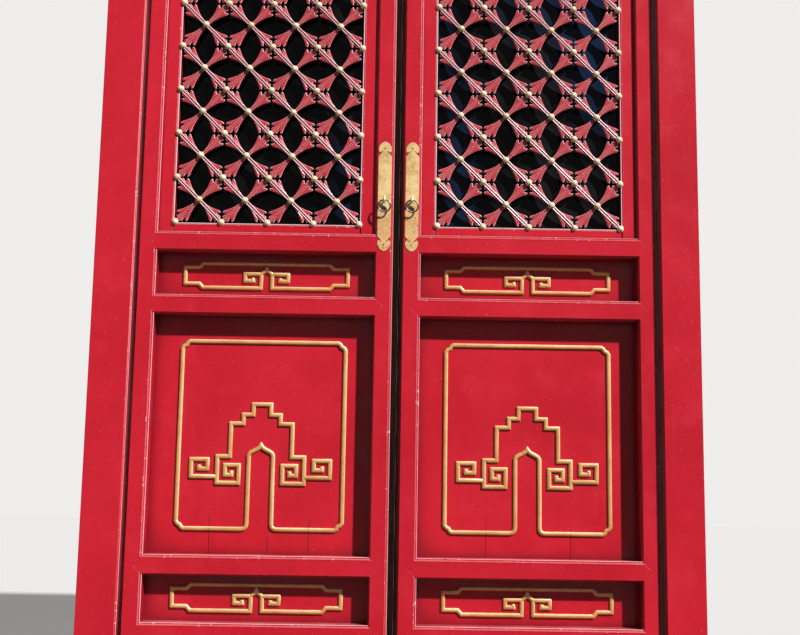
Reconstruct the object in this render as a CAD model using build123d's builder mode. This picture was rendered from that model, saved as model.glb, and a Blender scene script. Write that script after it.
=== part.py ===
"""Double door of a temple hall with its frame: two tall panelled leaves under a petal lattice.

Millimetres. The origin is the bottom centre of the frame, +X to the right seen from outside,
+Y into the hall and +Z up. Both leaves open into the hall on wooden pivot posts.
"""

import os
from math import cos, hypot, pi, sin, sqrt

from build123d import *

# Lattice: square cells, a gold boss on every junction and on the star in every cell
CELL_W = 130.0
COLS = 4
ROWS = 8
EDGE_GAP = 2.5
BAR_LAYER = 10.0
NECK_AT = 28.0
NECK_HALF = 6.3
TIP_AT = 67.0
TIP_HALF = 20.0
NOTCH_AT = 65.0
BAR_HALF = 8.0
BOSS_SIDES = 5
BOSS_D = 19.0
BOSS_TOP_D = 10.0
BOSS_H = 8.0

# Leaf frame
LEAF_T = 66.0
STILE_W = 52.0
RAIL_H = 55.0
OUTER_CHAMFER = 4.0
INNER_CHAMFER = 5.0
WAIST_H = 124.0
SKIRT_H = 657.0

# Inner frame round the lattice, with the pane and its beads behind
SIDE_STRIP = 42.5
END_STRIP = 27.5
STRIP_T = 28.0
STRIP_RECESS = 12.0
STRIP_CHAMFER = 4.0
PANE_T = 4.0
BEAD_W = 14.0
BEAD_T = 12.0

# Panels, let into grooves of the leaf frame
PANEL_RECESS = 48.0
PANEL_T = 12.0
GROOVE = 8.0

# Gold straps on the panels. Their paths are drawn for panels of these widths and heights
# and stretch with the real ones.
STRAP_H = 6.0
SKIRT_STRAP_W = 12.5
WAIST_STRAP_W = 11.0
DRAWN_SKIRT = (610, 657)
DRAWN_WAIST = (610, 124)

# Pull plate, its nails, the eye and the ring
PLATE_W = 37.0
PLATE_H = 317.0
PLATE_T = 1.5
PLATE_RISE = 110.5
HEAD_HALF_W = 18.0
HEAD_H = 24.0
WAIST_HALF_W = 14.0
WAIST_AT = 33.0
SHOULDER_AT = 49.0
SLOT_IN = 7.5
SLOT_AT = 30.5
SLOT_L = 12.7
SLOT_D = 3.2
NAIL_AT = 19.0
NAIL_D = 5.0
NAIL_TOP_D = 3.2
NAIL_SIDES = 6
NAIL_H = 1.5
EYE_DROP = 13.5
EYE_REACH = 12.0
EYE_D = 10.0
EYE_HOLE_D = 4.6
EYE_T = 4.0
EYE_SIDES = 8
SHANK_D = 4.6
ROSE_D = 13.0
ROSE_TOP_D = 9.5
ROSE_T = 2.5
RING_D = 38.0
RING_BAR_D = 3.5
RING_SIDES = 16

# Cover strips on the backs of the meeting stiles, which close most of the gap
COVER_SEAT_W = 36.0
COVER_T = 18.0
COVER_CLEARANCE = 3.0

# Pivot post behind the hinge stile
POST_W = 50.0
POST_CHAMFER = 6.0
PIN_D = 36.0
PIN_FIT = 0.3
PIN_STANDS_OUT = 12.0
SOCKET_DEPTH = 60.0

# Door frame
MEETING_GAP = 26.0
HINGE_GAP = 6.0
TOP_GAP = 6.0
FOOT_GAP = 6.0
SETBACK = 20.0
JAMB_W = 110.0
SILL_H = 110.0
LINTEL_H = 110.0
FRAME_CHAMFER = 5.0
BEARING_D = 60.0
BEARING_H = 70.0
BLOCK_W = 140.0
BLOCK_H = 100.0
BLOCK_CHAMFER = 12.0

# Worked out from the values above
LATTICE_W = COLS * CELL_W
LATTICE_H = ROWS * CELL_W
OPENING_W = LATTICE_W + 2 * (EDGE_GAP + SIDE_STRIP)
LATTICE_ZONE = LATTICE_H + 2 * (EDGE_GAP + END_STRIP)
LEAF_W = OPENING_W + 2 * STILE_W
ZONES = [WAIST_H, SKIRT_H, WAIST_H, LATTICE_ZONE]
LEAF_H = sum(ZONES) + (len(ZONES) + 1) * RAIL_H
FRAME_D = SETBACK + LEAF_T
FRONT = -(FRAME_D + BEARING_D) / 2
FRAME_BACK = FRONT + FRAME_D
BACK = FRAME_BACK + BEARING_D
LEAF_FRONT = FRONT + SETBACK
LEAF_BACK = LEAF_FRONT + LEAF_T
LEAF_X = (LEAF_W + MEETING_GAP) / 2
LEAF_Z = SILL_H + FOOT_GAP
DOORWAY_W = 2 * LEAF_W + MEETING_GAP + 2 * HINGE_GAP
DOORWAY_H = FOOT_GAP + LEAF_H + TOP_GAP
FRAME_W = DOORWAY_W + 2 * JAMB_W
LINTEL_Z = SILL_H + DOORWAY_H
PIVOT_X = LEAF_X + LEAF_W / 2 - POST_W / 2
PIVOT_Y = LEAF_BACK + POST_W / 2
STRIP_BACK = LEAF_FRONT + STRIP_RECESS + STRIP_T
PANEL_FRONT = LEAF_FRONT + PANEL_RECESS
LATTICE_FRONT = LEAF_FRONT + STRIP_RECESS
RING_R = (RING_D - RING_BAR_D) / 2

# How far a leaf's front corner swings out into the meeting gap, and how far each cover reaches
EDGE_TO_PIVOT = PIVOT_X - MEETING_GAP / 2
SWING_OUT = hypot(EDGE_TO_PIVOT, PIVOT_Y - LEAF_FRONT) - EDGE_TO_PIVOT
COVER_REACH = {"left": MEETING_GAP - SWING_OUT - COVER_CLEARANCE, "right": SWING_OUT}

# Bottom edge of each rail, and bottom and top of each opening, from the foot of the leaf
RAIL_Z = [0.0]
for zone in ZONES:
    RAIL_Z.append(RAIL_Z[-1] + RAIL_H + zone)
OPENINGS = [(z + RAIL_H, z + RAIL_H + zone) for z, zone in zip(RAIL_Z, ZONES)]
LOWER_WAIST, SKIRT, UPPER_WAIST, LATTICE = OPENINGS
PLATE_Z = LATTICE[0] + PLATE_RISE
PANELS = {"lower_waist": LOWER_WAIST, "skirt": SKIRT, "upper_waist": UPPER_WAIST}
RAIL_NAMES = ["bottom", "lower_waist", "skirt", "upper_waist", "top"]

SIDES = {"left": -1, "right": 1}

os.makedirs("parts", exist_ok=True)


def save(piece, name):
    """Label a finished piece and write its file."""
    piece.part.label = name
    export_step(piece.part, f"parts/{name}.step")


def save_group(solids, name):
    """Write separate solids as one node."""
    group = Compound(label=name, children=solids)
    export_step(group, f"parts/{name}.step")


def upright(x, y, z):
    """Plane facing the viewer: sketch x is +X, sketch y is +Z, and an extrusion comes forward."""
    return Plane(origin=(x, y, z), x_dir=(1, 0, 0), z_dir=(0, -1, 0))


def slab(x, z, width, height, front, back):
    """Add a plain board given by its middle in X, its foot, its size and its two faces."""
    with Locations((x, (front + back) / 2, z + height / 2)):
        Box(width, back - front, height)


def cut_grooves(x):
    """Cut the groove that each panel's tongue fills, in the stile or rail being built."""
    for low, high in PANELS.values():
        with Locations((x, PANEL_FRONT + PANEL_T / 2, LEAF_Z + (low + high) / 2)):
            Box(OPENING_W + 2 * GROOVE, PANEL_T, high - low + 2 * GROOVE, mode=Mode.SUBTRACT)


# Leaf frame


def stile(x, toward):
    """Upright of a leaf. The mid rails' pointed shoulders sit in its notches.

    toward is +1 where the opening lies to the stile's right and -1 where it lies to its left.
    """
    inner = -toward * OPENING_W / 2
    outer = -toward * LEAF_W / 2
    notch = inner - toward * RAIL_H / 2
    outline = [(outer, 0), (inner, RAIL_H)]
    for z in RAIL_Z[1:-1]:
        outline += [(inner, z), (notch, z + RAIL_H / 2), (inner, z + RAIL_H)]
    outline += [(inner, LEAF_H - RAIL_H), (outer, LEAF_H)]
    with BuildPart() as piece:
        with BuildSketch(upright(x, LEAF_BACK, LEAF_Z)):
            Polygon(*outline, align=None)
        extrude(amount=LEAF_T)
        by_x = piece.edges().filter_by(Axis.Z).group_by(Axis.Y)[0].group_by(Axis.X)
        chamfer(by_x[0] if toward > 0 else by_x[-1], OUTER_CHAMFER)
        by_x = piece.edges().filter_by(Axis.Z).group_by(Axis.Y)[0].group_by(Axis.X)
        chamfer(by_x[-1] if toward > 0 else by_x[0], INNER_CHAMFER)
        cut_grooves(x)
    return piece


def rail(x, index):
    """Cross rail: pointed ends between the openings, mitred corners at the top and the foot."""
    low = RAIL_Z[index]
    high = low + RAIL_H
    half = OPENING_W / 2
    point = half + RAIL_H / 2
    if index == 0:
        outline = [(-LEAF_W / 2, low), (LEAF_W / 2, low), (half, high), (-half, high)]
    elif index == len(ZONES):
        outline = [(-half, low), (half, low), (LEAF_W / 2, high), (-LEAF_W / 2, high)]
    else:
        middle = low + RAIL_H / 2
        outline = [(-half, low), (half, low), (point, middle)]
        outline += [(half, high), (-half, high), (-point, middle)]
    with BuildPart() as piece:
        with BuildSketch(upright(x, LEAF_BACK, LEAF_Z)):
            Polygon(*outline, align=None)
        extrude(amount=LEAF_T)
        front_edges = piece.edges().filter_by(Axis.X).group_by(Axis.Y)[0]
        if index == 0:
            front_edges = front_edges.group_by(Axis.Z)[-1]
        elif index == len(ZONES):
            front_edges = front_edges.group_by(Axis.Z)[0]
        chamfer(front_edges, INNER_CHAMFER)
        cut_grooves(x)
    return piece


def panel(x, low, high):
    """Thin board with a plain tongue all round, held in the grooves."""
    with BuildPart() as piece:
        slab(
            x,
            LEAF_Z + low - GROOVE,
            OPENING_W + 2 * GROOVE,
            high - low + 2 * GROOVE,
            PANEL_FRONT,
            PANEL_FRONT + PANEL_T,
        )
    return piece


# Straps


def steps(start, moves):
    """Corner points of a path that starts at a point and makes the given moves in turn."""
    points = [start]
    for across, up in moves:
        points.append((points[-1][0] + across, points[-1][1] + up))
    return points


def mirrored(points):
    """The same path on the other side of the middle line, in the opposite order."""
    return [(-across, up) for across, up in reversed(points)]


def strap(x, opening, drawn, paths, width):
    """Flat gold strap on the panel of an opening, along one or more paths.

    drawn is the width and height of the panel that the paths were drawn for.
    """
    low, high = opening
    stretch_x = OPENING_W / drawn[0]
    stretch_z = (high - low) / drawn[1]
    with BuildPart() as piece:
        middle = LEAF_Z + (low + high) / 2
        with BuildSketch(upright(x, PANEL_FRONT, middle)) as outline:
            for path in paths:
                with BuildLine():
                    Polyline(*[(across * stretch_x, up * stretch_z) for across, up in path])
                trace(line_width=width)
        extrude(outline.sketch, amount=STRAP_H)
    return piece


def skirt_border_paths():
    """Border with stepped corners, broken at the foot by a pointed arch."""
    half = [(0, -24), (10, -38), (22, -50), (33.7, -65), (33.7, -261)]
    half += [(217.7, -261), (217.7, -250), (228.7, -250)]
    half += [(228.7, 246), (217.7, 246), (217.7, 257), (0, 257)]
    return [half, mirrored(half)]


def skirt_fret_paths():
    """Key fret: two stepped arms that fall from a top bar, each with an inner and a side hook."""
    arm = [(24.5, 0), (0, -29), (27, 0), (0, -25), (34, 0), (0, -91), (35, 0), (0, -73)]
    hook = [(-60, 0), (0, 49), (38, 0), (0, -27), (-18, 0), (0, 10)]
    side_hook = [(72, 0), (0, 47), (-45, 0), (0, -26), (23, 0), (0, 9)]
    half = steps((0, 78.5), arm + hook)
    branch = steps((120.5, -122.5), side_hook)
    return [half, mirrored(half), branch, mirrored(branch)]


def waist_strap_paths():
    """Long cartouche with stepped ends, open at the foot where two hooks turn up and in."""
    outline = [(34, -13.5), (57.5, -13.5), (57.5, 6), (13.2, 6), (13.2, -35.2)]
    outline += [(178, -35.2), (187, -24), (228.7, -24)]
    outline += [(228.7, 24), (187, 24), (178, 35.2), (0, 35.2)]
    cusp = [(-15, 9), (0, 23), (15, 9)]
    return [outline, mirrored(outline), cusp]


# Lattice


def bar_outline(cells):
    """Outline of a diagonal bar in its own axes, from its first junction to its last.

    Each cell carries two petals that widen from the star to their lobes and narrow at the notch.
    """
    half_diagonal = CELL_W / sqrt(2)
    overrun = BAR_HALF + EDGE_GAP * sqrt(2) + 1
    petal = [(NOTCH_AT, BAR_HALF), (TIP_AT, TIP_HALF), (NECK_AT, NECK_HALF)]
    edge = [(-overrun, BAR_HALF)]
    for cell in range(cells):
        star = (2 * cell + 1) * half_diagonal
        edge += [(star - along, across) for along, across in petal]
        edge += [(star + along, across) for along, across in reversed(petal)]
    edge += [(2 * cells * half_diagonal + overrun, BAR_HALF)]
    return edge + [(along, -across) for along, across in reversed(edge)]


def lattice_layer(x, back, falling):
    """All parallel bars of one direction, clipped where they meet the inner frame."""
    foot = LATTICE[0] + END_STRIP + EDGE_GAP
    with BuildPart() as piece:
        with BuildSketch(upright(x, back, LEAF_Z + foot)) as layer:
            for diagonal in range(1, COLS + ROWS):
                first_col = max(0, diagonal - ROWS)
                last_col = min(diagonal, COLS)
                start_row = diagonal - first_col
                if not falling:
                    start_row = ROWS - start_row
                start = (first_col * CELL_W - LATTICE_W / 2, start_row * CELL_W)
                angle = -45 if falling else 45
                with Locations(Location((*start, 0), (0, 0, angle))):
                    Polygon(*bar_outline(last_col - first_col), align=None)
            with Locations((0, LATTICE_H / 2)):
                Rectangle(
                    LATTICE_W + 2 * EDGE_GAP,
                    LATTICE_H + 2 * EDGE_GAP,
                    mode=Mode.INTERSECT,
                )
        extrude(layer.sketch, amount=BAR_LAYER)
    return piece


def stud(x, y, z, width, top_width, height, sides):
    """Faceted dome that stands forward from its base: a boss, a nail or a rose."""
    rims = []
    for diameter, depth in [(width, y), (top_width, y - height)]:
        turns = [2 * pi * index / sides for index in range(sides)]
        rims.append(
            [(x + diameter / 2 * sin(t), depth, z + diameter / 2 * cos(t)) for t in turns]
        )
    base, top = rims
    faces = [Face(Wire.make_polygon(base)), Face(Wire.make_polygon(top))]
    for index in range(sides):
        after = (index + 1) % sides
        flank = [base[index], base[after], top[after], top[index]]
        faces.append(Face(Wire.make_polygon(flank)))
    return Solid(Shell(faces))


def bosses(x):
    """Faceted domes on every junction and every star, seated on bars and inner frame."""
    middle = LEAF_Z + (LATTICE[0] + LATTICE[1]) / 2
    boss = stud(x, LATTICE_FRONT, middle, BOSS_D, BOSS_TOP_D, BOSS_H, BOSS_SIDES)
    places = list(GridLocations(CELL_W, CELL_W, COLS + 1, ROWS + 1))
    places += list(GridLocations(CELL_W, CELL_W, COLS, ROWS))
    return [boss.moved(Location((place.position.X, 0, place.position.Y))) for place in places]


def strip(x, z, width, height, long_axis, inner_index):
    """One board of the inner frame, chamfered along its edge at the lattice."""
    across = Axis.X if long_axis == Axis.Z else Axis.Z
    with BuildPart() as piece:
        slab(x, z, width, height, LATTICE_FRONT, STRIP_BACK)
        front_edges = piece.edges().filter_by(long_axis).group_by(Axis.Y)[0]
        chamfer(front_edges.group_by(across)[inner_index], STRIP_CHAMFER)
    return piece.part


def inner_frame(x):
    """Two side strips at full height, with a strip between them at the foot and at the top."""
    low = LEAF_Z + LATTICE[0]
    high = LEAF_Z + LATTICE[1]
    side_x = (OPENING_W - SIDE_STRIP) / 2
    between = OPENING_W - 2 * SIDE_STRIP
    return [
        strip(x - side_x, low, SIDE_STRIP, LATTICE_ZONE, Axis.Z, -1),
        strip(x + side_x, low, SIDE_STRIP, LATTICE_ZONE, Axis.Z, 0),
        strip(x, low, between, END_STRIP, Axis.X, -1),
        strip(x, high - END_STRIP, between, END_STRIP, Axis.X, 0),
    ]


def glass_pane(x):
    """Dark pane behind the lattice."""
    with BuildPart() as piece:
        slab(
            x,
            LEAF_Z + LATTICE[0],
            OPENING_W,
            LATTICE_ZONE,
            STRIP_BACK,
            STRIP_BACK + PANE_T,
        )
    return piece


def glazing_beads(x):
    """Four beads that hold the pane against the inner frame from the back."""
    front = STRIP_BACK + PANE_T
    back = front + BEAD_T
    low = LEAF_Z + LATTICE[0]
    side_x = (OPENING_W - BEAD_W) / 2
    between = OPENING_W - 2 * BEAD_W
    places = [
        (x - side_x, low, BEAD_W, LATTICE_ZONE),
        (x + side_x, low, BEAD_W, LATTICE_ZONE),
        (x, low, between, BEAD_W),
        (x, low + LATTICE_ZONE - BEAD_W, between, BEAD_W),
    ]
    beads = []
    for bead_x, bead_z, width, height in places:
        with BuildPart() as bead:
            slab(bead_x, bead_z, width, height, front, back)
        beads.append(bead.part)
    return beads


def cover_strip(name, side):
    """Bare timber on the back of a meeting stile that reaches into the gap between the leaves."""
    edge = side * MEETING_GAP / 2
    reach = COVER_REACH[name]
    middle = edge + side * (COVER_SEAT_W - reach) / 2
    with BuildPart() as piece:
        slab(middle, LEAF_Z, COVER_SEAT_W + reach, LEAF_H, LEAF_BACK, LEAF_BACK + COVER_T)
    return piece


# Pull plate and ring


def plate_x(side):
    """Middle of the meeting stile of a leaf."""
    return side * (LEAF_X - LEAF_W / 2 + STILE_W / 2)


def handle_plate(side):
    """Thin plate with a cloud head at each end, the heads marked off by slanted slots."""
    top = PLATE_H / 2
    half = PLATE_W / 2
    head = [(0, 0), (6, 2), (12.5, 10.5), (HEAD_HALF_W, HEAD_H), (WAIST_HALF_W, WAIST_AT)]
    head += [(half - 1.5, (WAIST_AT + SHOULDER_AT) / 2), (half, SHOULDER_AT)]
    quarter = [(across, top - down) for across, down in head]
    with BuildPart() as piece:
        with BuildSketch(upright(plate_x(side), LEAF_FRONT, LEAF_Z + PLATE_Z)) as outline:
            Polygon(*quarter, (half, 0), (0, 0), align=None)
            mirror(about=Plane.YZ)
            for hand in (-1, 1):
                middle = hand * (SLOT_IN + WAIST_HALF_W) / 2
                with Locations(Location((middle, top - SLOT_AT, 0), (0, 0, -hand * 38))):
                    Rectangle(SLOT_L, SLOT_D, mode=Mode.SUBTRACT)
            mirror(about=Plane.XZ)
        extrude(outline.sketch, amount=PLATE_T)
    return piece


def plate_nails(side):
    """A low domed nail in each head of the plate."""
    x = plate_x(side)
    front = LEAF_FRONT - PLATE_T
    with BuildPart() as piece:
        for offset in (-1, 1):
            z = LEAF_Z + PLATE_Z + offset * (PLATE_H / 2 - NAIL_AT)
            add(stud(x, front, z, NAIL_D, NAIL_TOP_D, NAIL_H, NAIL_SIDES))
    return piece


def ring_staple(side):
    """Rose on the plate with a shank that ends in the eye for the ring."""
    x = plate_x(side)
    front = LEAF_FRONT - PLATE_T
    eye_y = front - EYE_REACH
    eye_z = LEAF_Z + PLATE_Z - EYE_DROP
    with BuildPart() as piece:
        add(stud(x, front, eye_z, ROSE_D, ROSE_TOP_D, ROSE_T, EYE_SIDES))
        with BuildSketch(upright(x, front, eye_z)):
            RegularPolygon(SHANK_D / 2, EYE_SIDES)
        extrude(amount=EYE_REACH - EYE_HOLE_D / 2 - EYE_HOLE_D / 4)
        with BuildSketch(Plane(origin=(x, eye_y, eye_z), z_dir=(1, 0, 0))):
            RegularPolygon(EYE_D / 2, EYE_SIDES, rotation=180 / EYE_SIDES)
            RegularPolygon(
                EYE_HOLE_D / 2, EYE_SIDES, rotation=180 / EYE_SIDES, mode=Mode.SUBTRACT
            )
        extrude(amount=EYE_T / 2, both=True)
    return piece


def pull_ring(side):
    """Round ring of round bar that hangs in the eye, drawn with flats."""
    eye_y = LEAF_FRONT - PLATE_T - EYE_REACH
    eye_z = LEAF_Z + PLATE_Z - EYE_DROP
    flat = RING_BAR_D / (2 + sqrt(2))
    turn = 180 / RING_SIDES
    with BuildPart() as piece:
        with BuildSketch(upright(plate_x(side), eye_y + RING_BAR_D / 2, eye_z - RING_R)):
            RegularPolygon(RING_D / 2, RING_SIDES, major_radius=False, rotation=turn)
            RegularPolygon(
                RING_D / 2 - RING_BAR_D,
                RING_SIDES,
                major_radius=False,
                rotation=turn,
                mode=Mode.SUBTRACT,
            )
        extrude(amount=RING_BAR_D)
        chamfer(piece.edges().filter_by(Axis.Y, reverse=True), flat)
    return piece


# Pivots and door frame


def pivot_post(side):
    """Square post fixed behind the hinge stile, turned to a round pin at both ends."""
    x = side * PIVOT_X
    pin_foot = BLOCK_H - SOCKET_DEPTH + PIN_FIT
    pin_head = LINTEL_Z + BEARING_H + PIN_STANDS_OUT
    with BuildPart() as piece:
        slab(x, LEAF_Z, POST_W, LEAF_H, PIVOT_Y - POST_W / 2, PIVOT_Y + POST_W / 2)
        back_edges = piece.edges().filter_by(Axis.Z).group_by(Axis.Y)[-1]
        chamfer(back_edges, POST_CHAMFER)
        with BuildSketch(Plane.XY.offset(pin_foot)):
            with Locations((x, PIVOT_Y)):
                Circle(PIN_D / 2)
        extrude(amount=pin_head - pin_foot)
    return piece


def pivot_block(side):
    """Block on the floor behind the sill, with the blind socket that carries the post."""
    x = side * PIVOT_X
    with BuildPart() as piece:
        slab(x, 0, BLOCK_W, BLOCK_H, FRAME_BACK, BACK)
        back_edges = piece.edges().filter_by(Axis.Z).group_by(Axis.Y)[-1]
        chamfer(back_edges, BLOCK_CHAMFER)
        with Locations((x, PIVOT_Y, BLOCK_H)):
            Hole(PIN_D / 2 + PIN_FIT, SOCKET_DEPTH)
    return piece


def bearing_rail():
    """Rail behind the lintel whose holes hold the heads of both posts."""
    with BuildPart() as piece:
        slab(0, LINTEL_Z, FRAME_W, BEARING_H, FRAME_BACK, BACK)
        back_edges = piece.edges().filter_by(Axis.X).group_by(Axis.Y)[-1]
        chamfer(back_edges, FRAME_CHAMFER)
        with Locations((0, PIVOT_Y, LINTEL_Z + BEARING_H)):
            with GridLocations(2 * PIVOT_X, 0, 2, 1):
                Hole(PIN_D / 2 + PIN_FIT, BEARING_H)
    return piece


def cross_member(z, height, doorway_edge):
    """Sill or lintel: a full-width timber with a chamfer on the front edge at the doorway."""
    with BuildPart() as piece:
        slab(0, z, FRAME_W, height, FRONT, FRAME_BACK)
        front_edges = piece.edges().filter_by(Axis.X).group_by(Axis.Y)[0]
        chamfer(front_edges.group_by(Axis.Z)[doorway_edge], FRAME_CHAMFER)
    return piece


def jamb(side):
    """Upright between sill and lintel, chamfered on the front edge at the doorway."""
    x = side * (DOORWAY_W + JAMB_W) / 2
    with BuildPart() as piece:
        slab(x, SILL_H, JAMB_W, DOORWAY_H, FRONT, FRAME_BACK)
        front_edges = piece.edges().filter_by(Axis.Z).group_by(Axis.Y)[0]
        chamfer(front_edges.group_by(Axis.X)[-1 if side < 0 else 0], FRAME_CHAMFER)
    return piece


def build_frame():
    save(cross_member(0, SILL_H, -1), "sill")
    save(cross_member(LINTEL_Z, LINTEL_H, 0), "lintel")
    save(bearing_rail(), "bearing_rail")
    for name, side in SIDES.items():
        save(jamb(side), f"{name}_jamb")
        save(pivot_block(side), f"{name}_pivot_block")


def build_leaf(name, side):
    x = side * LEAF_X
    save(stile(x, -side), f"{name}_hinge_stile")
    save(stile(x, side), f"{name}_meeting_stile")
    for index, rail_name in enumerate(RAIL_NAMES):
        save(rail(x, index), f"{name}_{rail_name}_rail")
    for panel_name, (low, high) in PANELS.items():
        save(panel(x, low, high), f"{name}_{panel_name}_panel")
    border = strap(x, SKIRT, DRAWN_SKIRT, skirt_border_paths(), SKIRT_STRAP_W)
    fret = strap(x, SKIRT, DRAWN_SKIRT, skirt_fret_paths(), SKIRT_STRAP_W)
    save(border, f"{name}_skirt_border")
    save(fret, f"{name}_skirt_fret")
    for waist_name in ("lower_waist", "upper_waist"):
        opening = PANELS[waist_name]
        cartouche = strap(x, opening, DRAWN_WAIST, waist_strap_paths(), WAIST_STRAP_W)
        save(cartouche, f"{name}_{waist_name}_strap")
    front_back = LATTICE_FRONT + BAR_LAYER
    save(lattice_layer(x, front_back, True), f"{name}_lattice_falling_bars")
    save(lattice_layer(x, front_back + BAR_LAYER, False), f"{name}_lattice_rising_bars")
    save_group(bosses(x), f"{name}_lattice_bosses")
    save_group(inner_frame(x), f"{name}_inner_frame")
    save(glass_pane(x), f"{name}_glass_pane")
    save_group(glazing_beads(x), f"{name}_glazing_beads")
    save(cover_strip(name, side), f"{name}_cover_strip")
    save(pivot_post(side), f"{name}_pivot_post")
    save(handle_plate(side), f"{name}_handle_plate")
    save(plate_nails(side), f"{name}_plate_nails")
    save(ring_staple(side), f"{name}_ring_staple")
    save(pull_ring(side), f"{name}_pull_ring")


build_frame()
for leaf_name, leaf_side in SIDES.items():
    build_leaf(leaf_name, leaf_side)
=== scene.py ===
"""Looks of the double door: carved lattice, gilded straps, brass pulls and glossy red paint.

Lengths are in millimetres until they go into a mesh, which is in metres. A flat pattern is drawn
in (u, v, h): u to the right, v up, h towards the viewer.
"""

import math
import random

import bpy
from mathutils import Matrix, Vector


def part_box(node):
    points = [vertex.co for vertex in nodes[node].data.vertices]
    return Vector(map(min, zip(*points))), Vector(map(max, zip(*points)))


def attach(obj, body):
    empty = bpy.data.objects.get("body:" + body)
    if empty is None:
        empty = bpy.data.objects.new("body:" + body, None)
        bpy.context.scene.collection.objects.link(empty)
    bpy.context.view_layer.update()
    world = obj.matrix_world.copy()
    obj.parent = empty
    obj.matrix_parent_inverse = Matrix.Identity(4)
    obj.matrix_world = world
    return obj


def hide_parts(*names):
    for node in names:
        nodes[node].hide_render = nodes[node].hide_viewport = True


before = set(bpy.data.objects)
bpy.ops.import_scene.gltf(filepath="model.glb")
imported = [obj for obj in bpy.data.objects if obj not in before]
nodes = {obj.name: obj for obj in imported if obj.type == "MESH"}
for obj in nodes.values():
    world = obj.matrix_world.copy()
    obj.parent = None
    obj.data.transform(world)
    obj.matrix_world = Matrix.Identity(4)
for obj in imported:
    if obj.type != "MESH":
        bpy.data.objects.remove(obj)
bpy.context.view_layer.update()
random.seed(12)

# The same sizes as in the part
CELL = 130.0
COLS = 4
ROWS = 8
EDGE_GAP = 2.5
LATTICE_W = COLS * CELL
LATTICE_H = ROWS * CELL
HALF_DIAGONAL = CELL / math.sqrt(2)
OPENING_W = 610.0
LEAF_W = 714.0
LEAF_H = 2280.0
LEAF_X = 370.0
LEAF_Z = 116.0
STILE_W = 52.0
END_STRIP = 27.5
LEAF_FRONT = -53.0
LATTICE_FRONT = -41.0
PANEL_FRONT = -5.0
BAR_LAYER = 10.0
LOWER_WAIST = (55.0, 179.0)
SKIRT = (234.0, 891.0)
UPPER_WAIST = (946.0, 1070.0)
LATTICE = (1125.0, 2225.0)
STRAP_H = 6.0
SKIRT_STRAP_W = 12.5
PLATE_H = 317.0
PLATE_T = 1.5
PLATE_Z = 1235.5
NAIL_INSET = 19.0
EYE_DROP = 13.5
EYE_REACH = 12.0
RING_R = 17.25
BOSS_D = 19.0
BOSS_H = 8.0
PULL_X = LEAF_X - LEAF_W / 2 + STILE_W / 2

# Sizes that differ a little from the part's
WAIST_STRAP_W = 12.0
SLIT_INSET = 29.6
RING_BAR_R = 2.3

# Thin beads, pale as worn paint and as painted highlight, each as distance from the edge, height
# over the face and radius
OPENING_BEADS = ((2.2, -2.9, 2.4), (7.6, -1.0, 1.8))
OUTER_BEADS = ((2.3, -2.4, 2.3), (7.8, -1.0, 1.8))
JAMB_BEADS = ((1.2, -3.5, 1.5), (4.2, -1.5, 1.4))
RUBBED_AND_HIGHLIT_STRIP_BEAD = (1.4, -1.5, 1.5)
STRIP_BEAD = (6.0, -0.6, 1.2)
BEAD_END_GAP = 0.5

# Lattice bars, as heights over the back of their layer
FALLING_TOP = 7.4
RISING_TOP = 15.4
REED_BASE = 7.6
RIDGE_BASE = 15.3

# Petals: thickness, where the lobes start from the star, and chance turn in degrees
PETAL_T = 7.4
LOBE_START = 57
PETAL_TWIST = 0.35

# How far the mouldings of a bar run on past its ends
BAR_OVERRUN = 6.0

# Bosses: narrower than in the part, sunk at the foot, and leaning by chance at the top
BOSS_MARGIN = 0.4
BOSS_SINK = 0.3
BOSS_LUMP = 0.25

# Materials of the lattice bars, in the order of their slots
PETALS, EDGES, REEDS, GROOVES, VEINS, TIPS = range(6)

# Materials of the edge beads, in the order of their slots; both are pale as worn paint and as
# painted highlight
WEATHERED_AND_SUNLIT, RUBBED_AND_HIGHLIT = range(2)

LEAVES = {"left": -1, "right": 1}
WAISTS = {"lower_waist": LOWER_WAIST, "upper_waist": UPPER_WAIST}

# Camera fitted to the photograph, in metres and degrees, with its sensor in millimetres
SENSOR_W = 36.0
IMAGE_W = 800
FOCAL_PX = 1087.5
CAMERA_AT = (-0.002, -3.052, 0.596)
CAMERA_PITCH = 7.787
CAMERA_ROLL = -0.913
CAMERA_TURN = -0.233

# Light and floor
SUN_FROM = (1.06, -1.0, 1.28)
SUN_STRENGTH = 5.9
SUN_ANGLE = 2.0
BACK_FROM = (-0.8, 1.0, 0.8)
BACK_STRENGTH = 3.4
BACK_ANGLE = 20.0
FILL = 0.024
FILL_TINT = (0.78, 0.90, 1.20, 1)
BACKDROP = 0.86
BACKDROP_TINT = (1.0, 0.99, 0.975, 1)
FLOOR_HALF = 9.0
FLOOR_SEEN = (0.46, 0.455, 0.445, 1)
FLOOR_UNSEEN = (0.04, 0.04, 0.04, 1)


# Meshes


def to_row(points, x, y, z):
    """Points of a flat pattern put at x, z on the face at depth y, in metres."""
    return [((x + u) / 1000, (y - h) / 1000, (z + v) / 1000) for u, v, h in points]


def linked(name, data):
    """New object in the scene."""
    obj = bpy.data.objects.new(name, data)
    bpy.context.scene.collection.objects.link(obj)
    return obj


def piece(name, verts, faces, body, materials, smooth=35, indices=None):
    """Mesh object from row-frame vertices in metres, riding on a body."""
    mesh = bpy.data.meshes.new(name)
    mesh.from_pydata(verts, [], faces)
    for material in materials:
        mesh.materials.append(material)
    if indices:
        mesh.polygons.foreach_set("material_index", indices)
    mesh.shade_smooth()
    mesh.set_sharp_from_angle(angle=math.radians(smooth))
    mesh.update()
    obj = linked(name, mesh)
    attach(obj, body)
    return obj


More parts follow.
